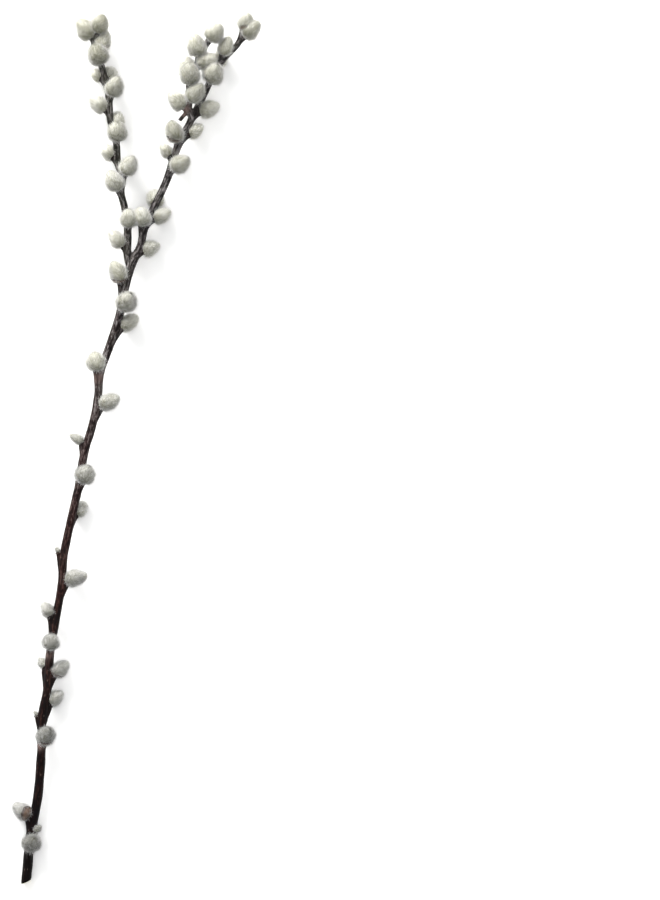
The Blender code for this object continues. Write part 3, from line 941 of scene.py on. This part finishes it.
def lay_strands(shape, rng, count, strays, length_range):
    """Return roots, middles, tips, normals and tones of strands combed towards the tip."""
    share = shape.share_at(rng.uniform(LOWEST_ROOT, 1.0, count))
    angle = rng.uniform(0.0, 2 * math.pi, count)
    roots, normals, uphill = shape.skin(share, angle)
    lift = np.radians(rng.uniform(*STRAND_LIFT, count))
    stray = rng.random(count) < strays
    lift[stray] = np.radians(rng.uniform(*STRAY_LIFT, int(stray.sum())))
    sideways = np.cross(normals, uphill)
    swing = rng.normal(0.0, STRAND_SWING, count)
    line = (
        uphill * np.cos(lift)[:, None] + normals * np.sin(lift)[:, None]
        + sideways * swing[:, None]
    )
    length = rng.uniform(*length_range, count) * np.interp(share, *STRAND_SHORTENING)
    length[stray] *= rng.uniform(*STRAY_LENGTH, int(stray.sum()))
    tips = roots + unit(line) * length[:, None]
    lock_roots, lock_tips = lay_locks(shape)
    gap = np.linalg.norm(roots[:, None, :] - lock_roots[None, :, :], axis=2)
    lock = gap.argmin(axis=1)
    firmness = LOCK_PULL * np.interp(share, *LOCKS_END) * rng.uniform(*LOCK_PULL_SPREAD, count)
    pull = np.where(stray, 0.0, firmness)[:, None]
    tips = tips * (1 - pull) + lock_tips[lock] * pull
    middles = (roots + tips) / 2 + normals * (STRAND_BOW * length)[:, None]
    tone = shape.tone + LOCK_TONE * np.sin(lock * LOCK_TONE_WAVE)
    tone += rng.normal(0.0, STRAND_TONE, count)
    return roots, middles, tips, normals, np.clip(tone, *TONE_LIMITS) * SILK_PART


def strand_ribbons(shape, rng, coat, length_range):
    """Turn strands into thin tapering ribbons: points, normals, triangles and map places."""
    per_mm2, strays, curved, (root_tone, tip_tone), from_body = coat
    count = int(shape.area * per_mm2)
    roots, middles, tips, normals, tone = lay_strands(shape, rng, count, strays, length_range)
    line = unit(tips - roots)
    flat = unit(np.cross(line, normals))
    edge = np.cross(flat, line)
    twist = rng.uniform(-STRAND_TWIST, STRAND_TWIST, count)
    width = flat * np.cos(twist)[:, None] + edge * np.sin(twist)[:, None]
    own_normals = np.cross(width, line)
    width *= STRAND_HALF_WIDTH * rng.uniform(*WIDTH_SPREAD, count)[:, None]
    shown = unit(normals * from_body + own_normals * (1 - from_body))
    left, right = tone - RIBBON_ON_MAP, tone + RIBBON_ON_MAP
    # The catkin's own tone with its painted light and shade, less of it on stray hairs.
    fade = shape.tone_and_painted_light ** (1.0 - STRAYS_SPARED * strays)
    fade = fade * (1.0 - SPECK_DEPTH * shape.specks(middles))
    root = np.minimum(root_tone * fade, HIGHEST_ON_MAP)
    tip = np.minimum(tip_tone * fade, HIGHEST_ON_MAP)
    if curved:
        half = (root + tip) / 2
        waist = width * MIDDLE_WIDTH
        points = (roots - width, roots + width, middles + waist, middles - waist, tips)
        places = ((left, root), (right, root), (right, half), (left, half), (tone, tip))
        pattern = np.array(((0, 1, 2), (0, 2, 3), (3, 2, 4)))
    else:
        points = (roots - width, roots + width, tips)
        places = ((left, root), (right, root), (tone, tip))
        pattern = np.array(((0, 1, 2),))
    corners = len(points)
    points = np.stack(points, axis=1).reshape(-1, 3)
    uv = np.stack([np.stack(pair, axis=1) for pair in places], axis=1).reshape(-1, 2)
    triangles = (np.arange(count)[:, None, None] * corners + pattern[None]).reshape(-1, 3)
    return points, np.repeat(shown, corners, axis=0), triangles, uv[triangles].reshape(-1, 2)


def make_catkin(name, points, bud, seed, silk, body, tone_and_painted_light):
    """Make a catkin: its body, then its coats of silk."""
    body_share = SCRAP_SHARE if bud.kind == EMPTY else BODY_SHARE
    shape = CatkinShape(points, bud, seed, body_share, tone_and_painted_light)
    rng = np.random.default_rng(seed)
    size = min(1.0, bud.width / FULL_LENGTH_WIDTH)
    lengths = tuple(size * value for value in STRAND_LENGTH)
    sets = [body_mesh(shape)] + [strand_ribbons(shape, rng, coat, lengths) for coat in COATS]
    first = np.cumsum([0] + [len(part[0]) for part in sets])
    places = np.concatenate([part[0] for part in sets])
    normals = np.concatenate([part[1] for part in sets])
    triangles = np.concatenate([part[2] + start for part, start in zip(sets, first)])
    corners = np.concatenate([part[3] for part in sets])
    low = places[:, 2] < CLEAR_OF_SURFACE
    places[low, 2] = CLEAR_OF_SURFACE + rng.uniform(0.0, SURFACE_SCATTER, int(low.sum()))
    body_count = len(sets[0][2])
    index = (np.arange(len(triangles)) >= body_count).astype(np.int32)
    maps = {STRAND_MAP: corners, BAKE_MAP: corners}
    return make_mesh(name, places, triangles, [body, silk], index, maps, normals)


def make_bud_scale(name, points, bud, seed, material, other=None):
    """Make the thin brown hood behind a catkin: a cup at its foot, drawn up on the outer side."""
    usual_rise = HOOD_RISE + HOOD_RISE_STEP * (seed % HOOD_RISE_STEPS)
    hood_share, turn, high = other or (HOOD_SHARE, 0.0, usual_rise)
    shape = CatkinShape(points, bud, seed, hood_share)
    angles = np.arange(HOOD_SIDES) * (2 * math.pi / HOOD_SIDES)
    rise = np.maximum(0.0, np.cos(angles - math.radians(turn))) ** HOOD_NARROWING
    wave = HOOD_RAGGED_WAVE
    ragged = np.array([
        noise.noise(Vector((math.cos(angle) * wave, math.sin(angle) * wave, seed * HOOD_SEED_STEP)))
        for angle in angles
    ])
    top = HOOD_CUP + high * rise + HOOD_RAGGED * ragged
    outer, inner, uv = [], [], []
    for share in np.linspace(0.0, 1.0, HOOD_ROWS):
        places, normals, _ = shape.skin(HOOD_FOOT + (top - HOOD_FOOT) * share, angles)
        curl = HOOD_CURL * share ** 3 * rise[:, None]
        places = places + normals * (curl + HOOD_GAP)
        outer.append(places + normals * HOOD_THICKNESS)
        inner.append(places)
        uv.append(np.column_stack([angles / (2 * math.pi), np.full(HOOD_SIDES, share)]))
    rings = outer + inner[::-1]
    triangles = loft_triangles(len(rings), HOOD_SIDES, close_foot=False, close_top=False)
    places = np.concatenate(rings)
    places[:, 2] = np.maximum(places[:, 2], CLEAR_OF_SURFACE)
    maps = {STRAND_MAP: corner_places(np.concatenate(uv + uv[::-1]), triangles, 1.0)}
    return make_mesh(name, places, triangles, [material], maps=maps)


def dress_buds(silk, body, scale):
    """Make every bud's catkin and bud scale, and return the pieces, each with a slot name."""
    pieces = []
    seed = 0
    for stem_name, points, buds in GROWTH:
        for number, row in enumerate(buds):
            bud = Bud(*row)
            seed += 1
            kind = "silk_scrap" if bud.kind == EMPTY else "catkin"
            name = f"{kind}_{stem_name}_{number:02d}"
            tone_and_painted_light = TONE_AND_PAINTED_LIGHT.get((stem_name, number), 1.0)
            catkin = make_catkin(name, points, bud, seed, silk, body, tone_and_painted_light)
            pieces.append((catkin, "catkin"))
            if bud.kind != FURRY:
                name = f"bud_scale_{stem_name}_{number:02d}"
                other = OTHER_HOODS.get((stem_name, number))
                hood = make_bud_scale(name, points, bud, seed, scale, other)
                pieces.append((hood, "bud_scale"))
    return pieces


# Stage


def make_floor():
    """Make the pale surface that the branch lies on."""
    half = HALF_FLOOR
    mesh = bpy.data.meshes.new("floor")
    corners = [(-half, -half, 0), (half, -half, 0), (half, half, 0), (-half, half, 0)]
    mesh.from_pydata(corners, [], [(0, 1, 2, 3)])
    mesh.materials.append(floor_material())
    add_object("floor", mesh)


def add_area_light(name, place, size, power, colour):
    """Add a soft square light that points at the middle of the branch."""
    data = bpy.data.lights.new(name, "AREA")
    data.size = size
    data.energy = power
    data.color = colour
    light = add_object(name, data)
    light.location = place
    light.rotation_euler = (-Vector(place)).to_track_quat("-Z", "Y").to_euler()


def light_the_stage():
    """Light it as the photo is lit: bright all round, with the key light beyond the tips."""
    scene = bpy.context.scene
    world = bpy.data.worlds.new("studio")
    world.use_nodes = True
    tree = world.node_tree
    background = tree.nodes["Background"]
    background.inputs["Strength"].default_value = WORLD_STRENGTH
    place = tree.nodes.new("ShaderNodeTexCoord")
    parts = tree.nodes.new("ShaderNodeSeparateXYZ")
    glow = tree.nodes.new("ShaderNodeMapRange")
    for socket, value in zip((1, 2, 3, 4), (-1.0, 1.0, *WORLD_GLOW)):
        glow.inputs[socket].default_value = value
    tree.links.new(place.outputs["Generated"], parts.inputs[0])
    tree.links.new(parts.outputs["Y"], glow.inputs[0])
    tree.links.new(glow.outputs[0], background.inputs["Color"])
    scene.world = world
    for name, settings in LIGHTS.items():
        add_area_light(name, *settings)
    scene.view_settings.view_transform = "Standard"
    scene.view_settings.look = "None"


def make_camera():
    """Look straight down on the branch, with it at the photo's place in the frame."""
    low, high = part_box(NODE)
    scale = VIEW_HEIGHT * MM / PHOTO_HEIGHT
    middle_x = low.x - LEFT_MARGIN * MM + scale * PHOTO_WIDTH / 2
    middle_y = (low.y + high.y) / 2
    distance = VIEW_HEIGHT * MM / 2 / (SENSOR / 2 / LENS)
    data = bpy.data.cameras.new("camera")
    data.lens = LENS
    data.sensor_width = SENSOR
    data.clip_start = CLIP_START
    data.clip_end = CLIP_END
    camera = add_object("camera", data)
    camera.location = (middle_x, middle_y, high.z / 2 + distance)
    bpy.context.scene.camera = camera


def main():
    """Dress the branch, set the stage and tie every piece to the model."""
    bark = make_bark(bark_material())
    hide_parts(NODE)
    pieces = [(bark, "bark"), (make_cut_face(cut_wood_material()), "cut_wood")]
    pieces += dress_buds(silk_material(), catkin_body_material(), scale_material())
    for piece, slot_name in pieces:
        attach(piece, BODY)
    make_floor()
    light_the_stage()
    make_camera()


main()
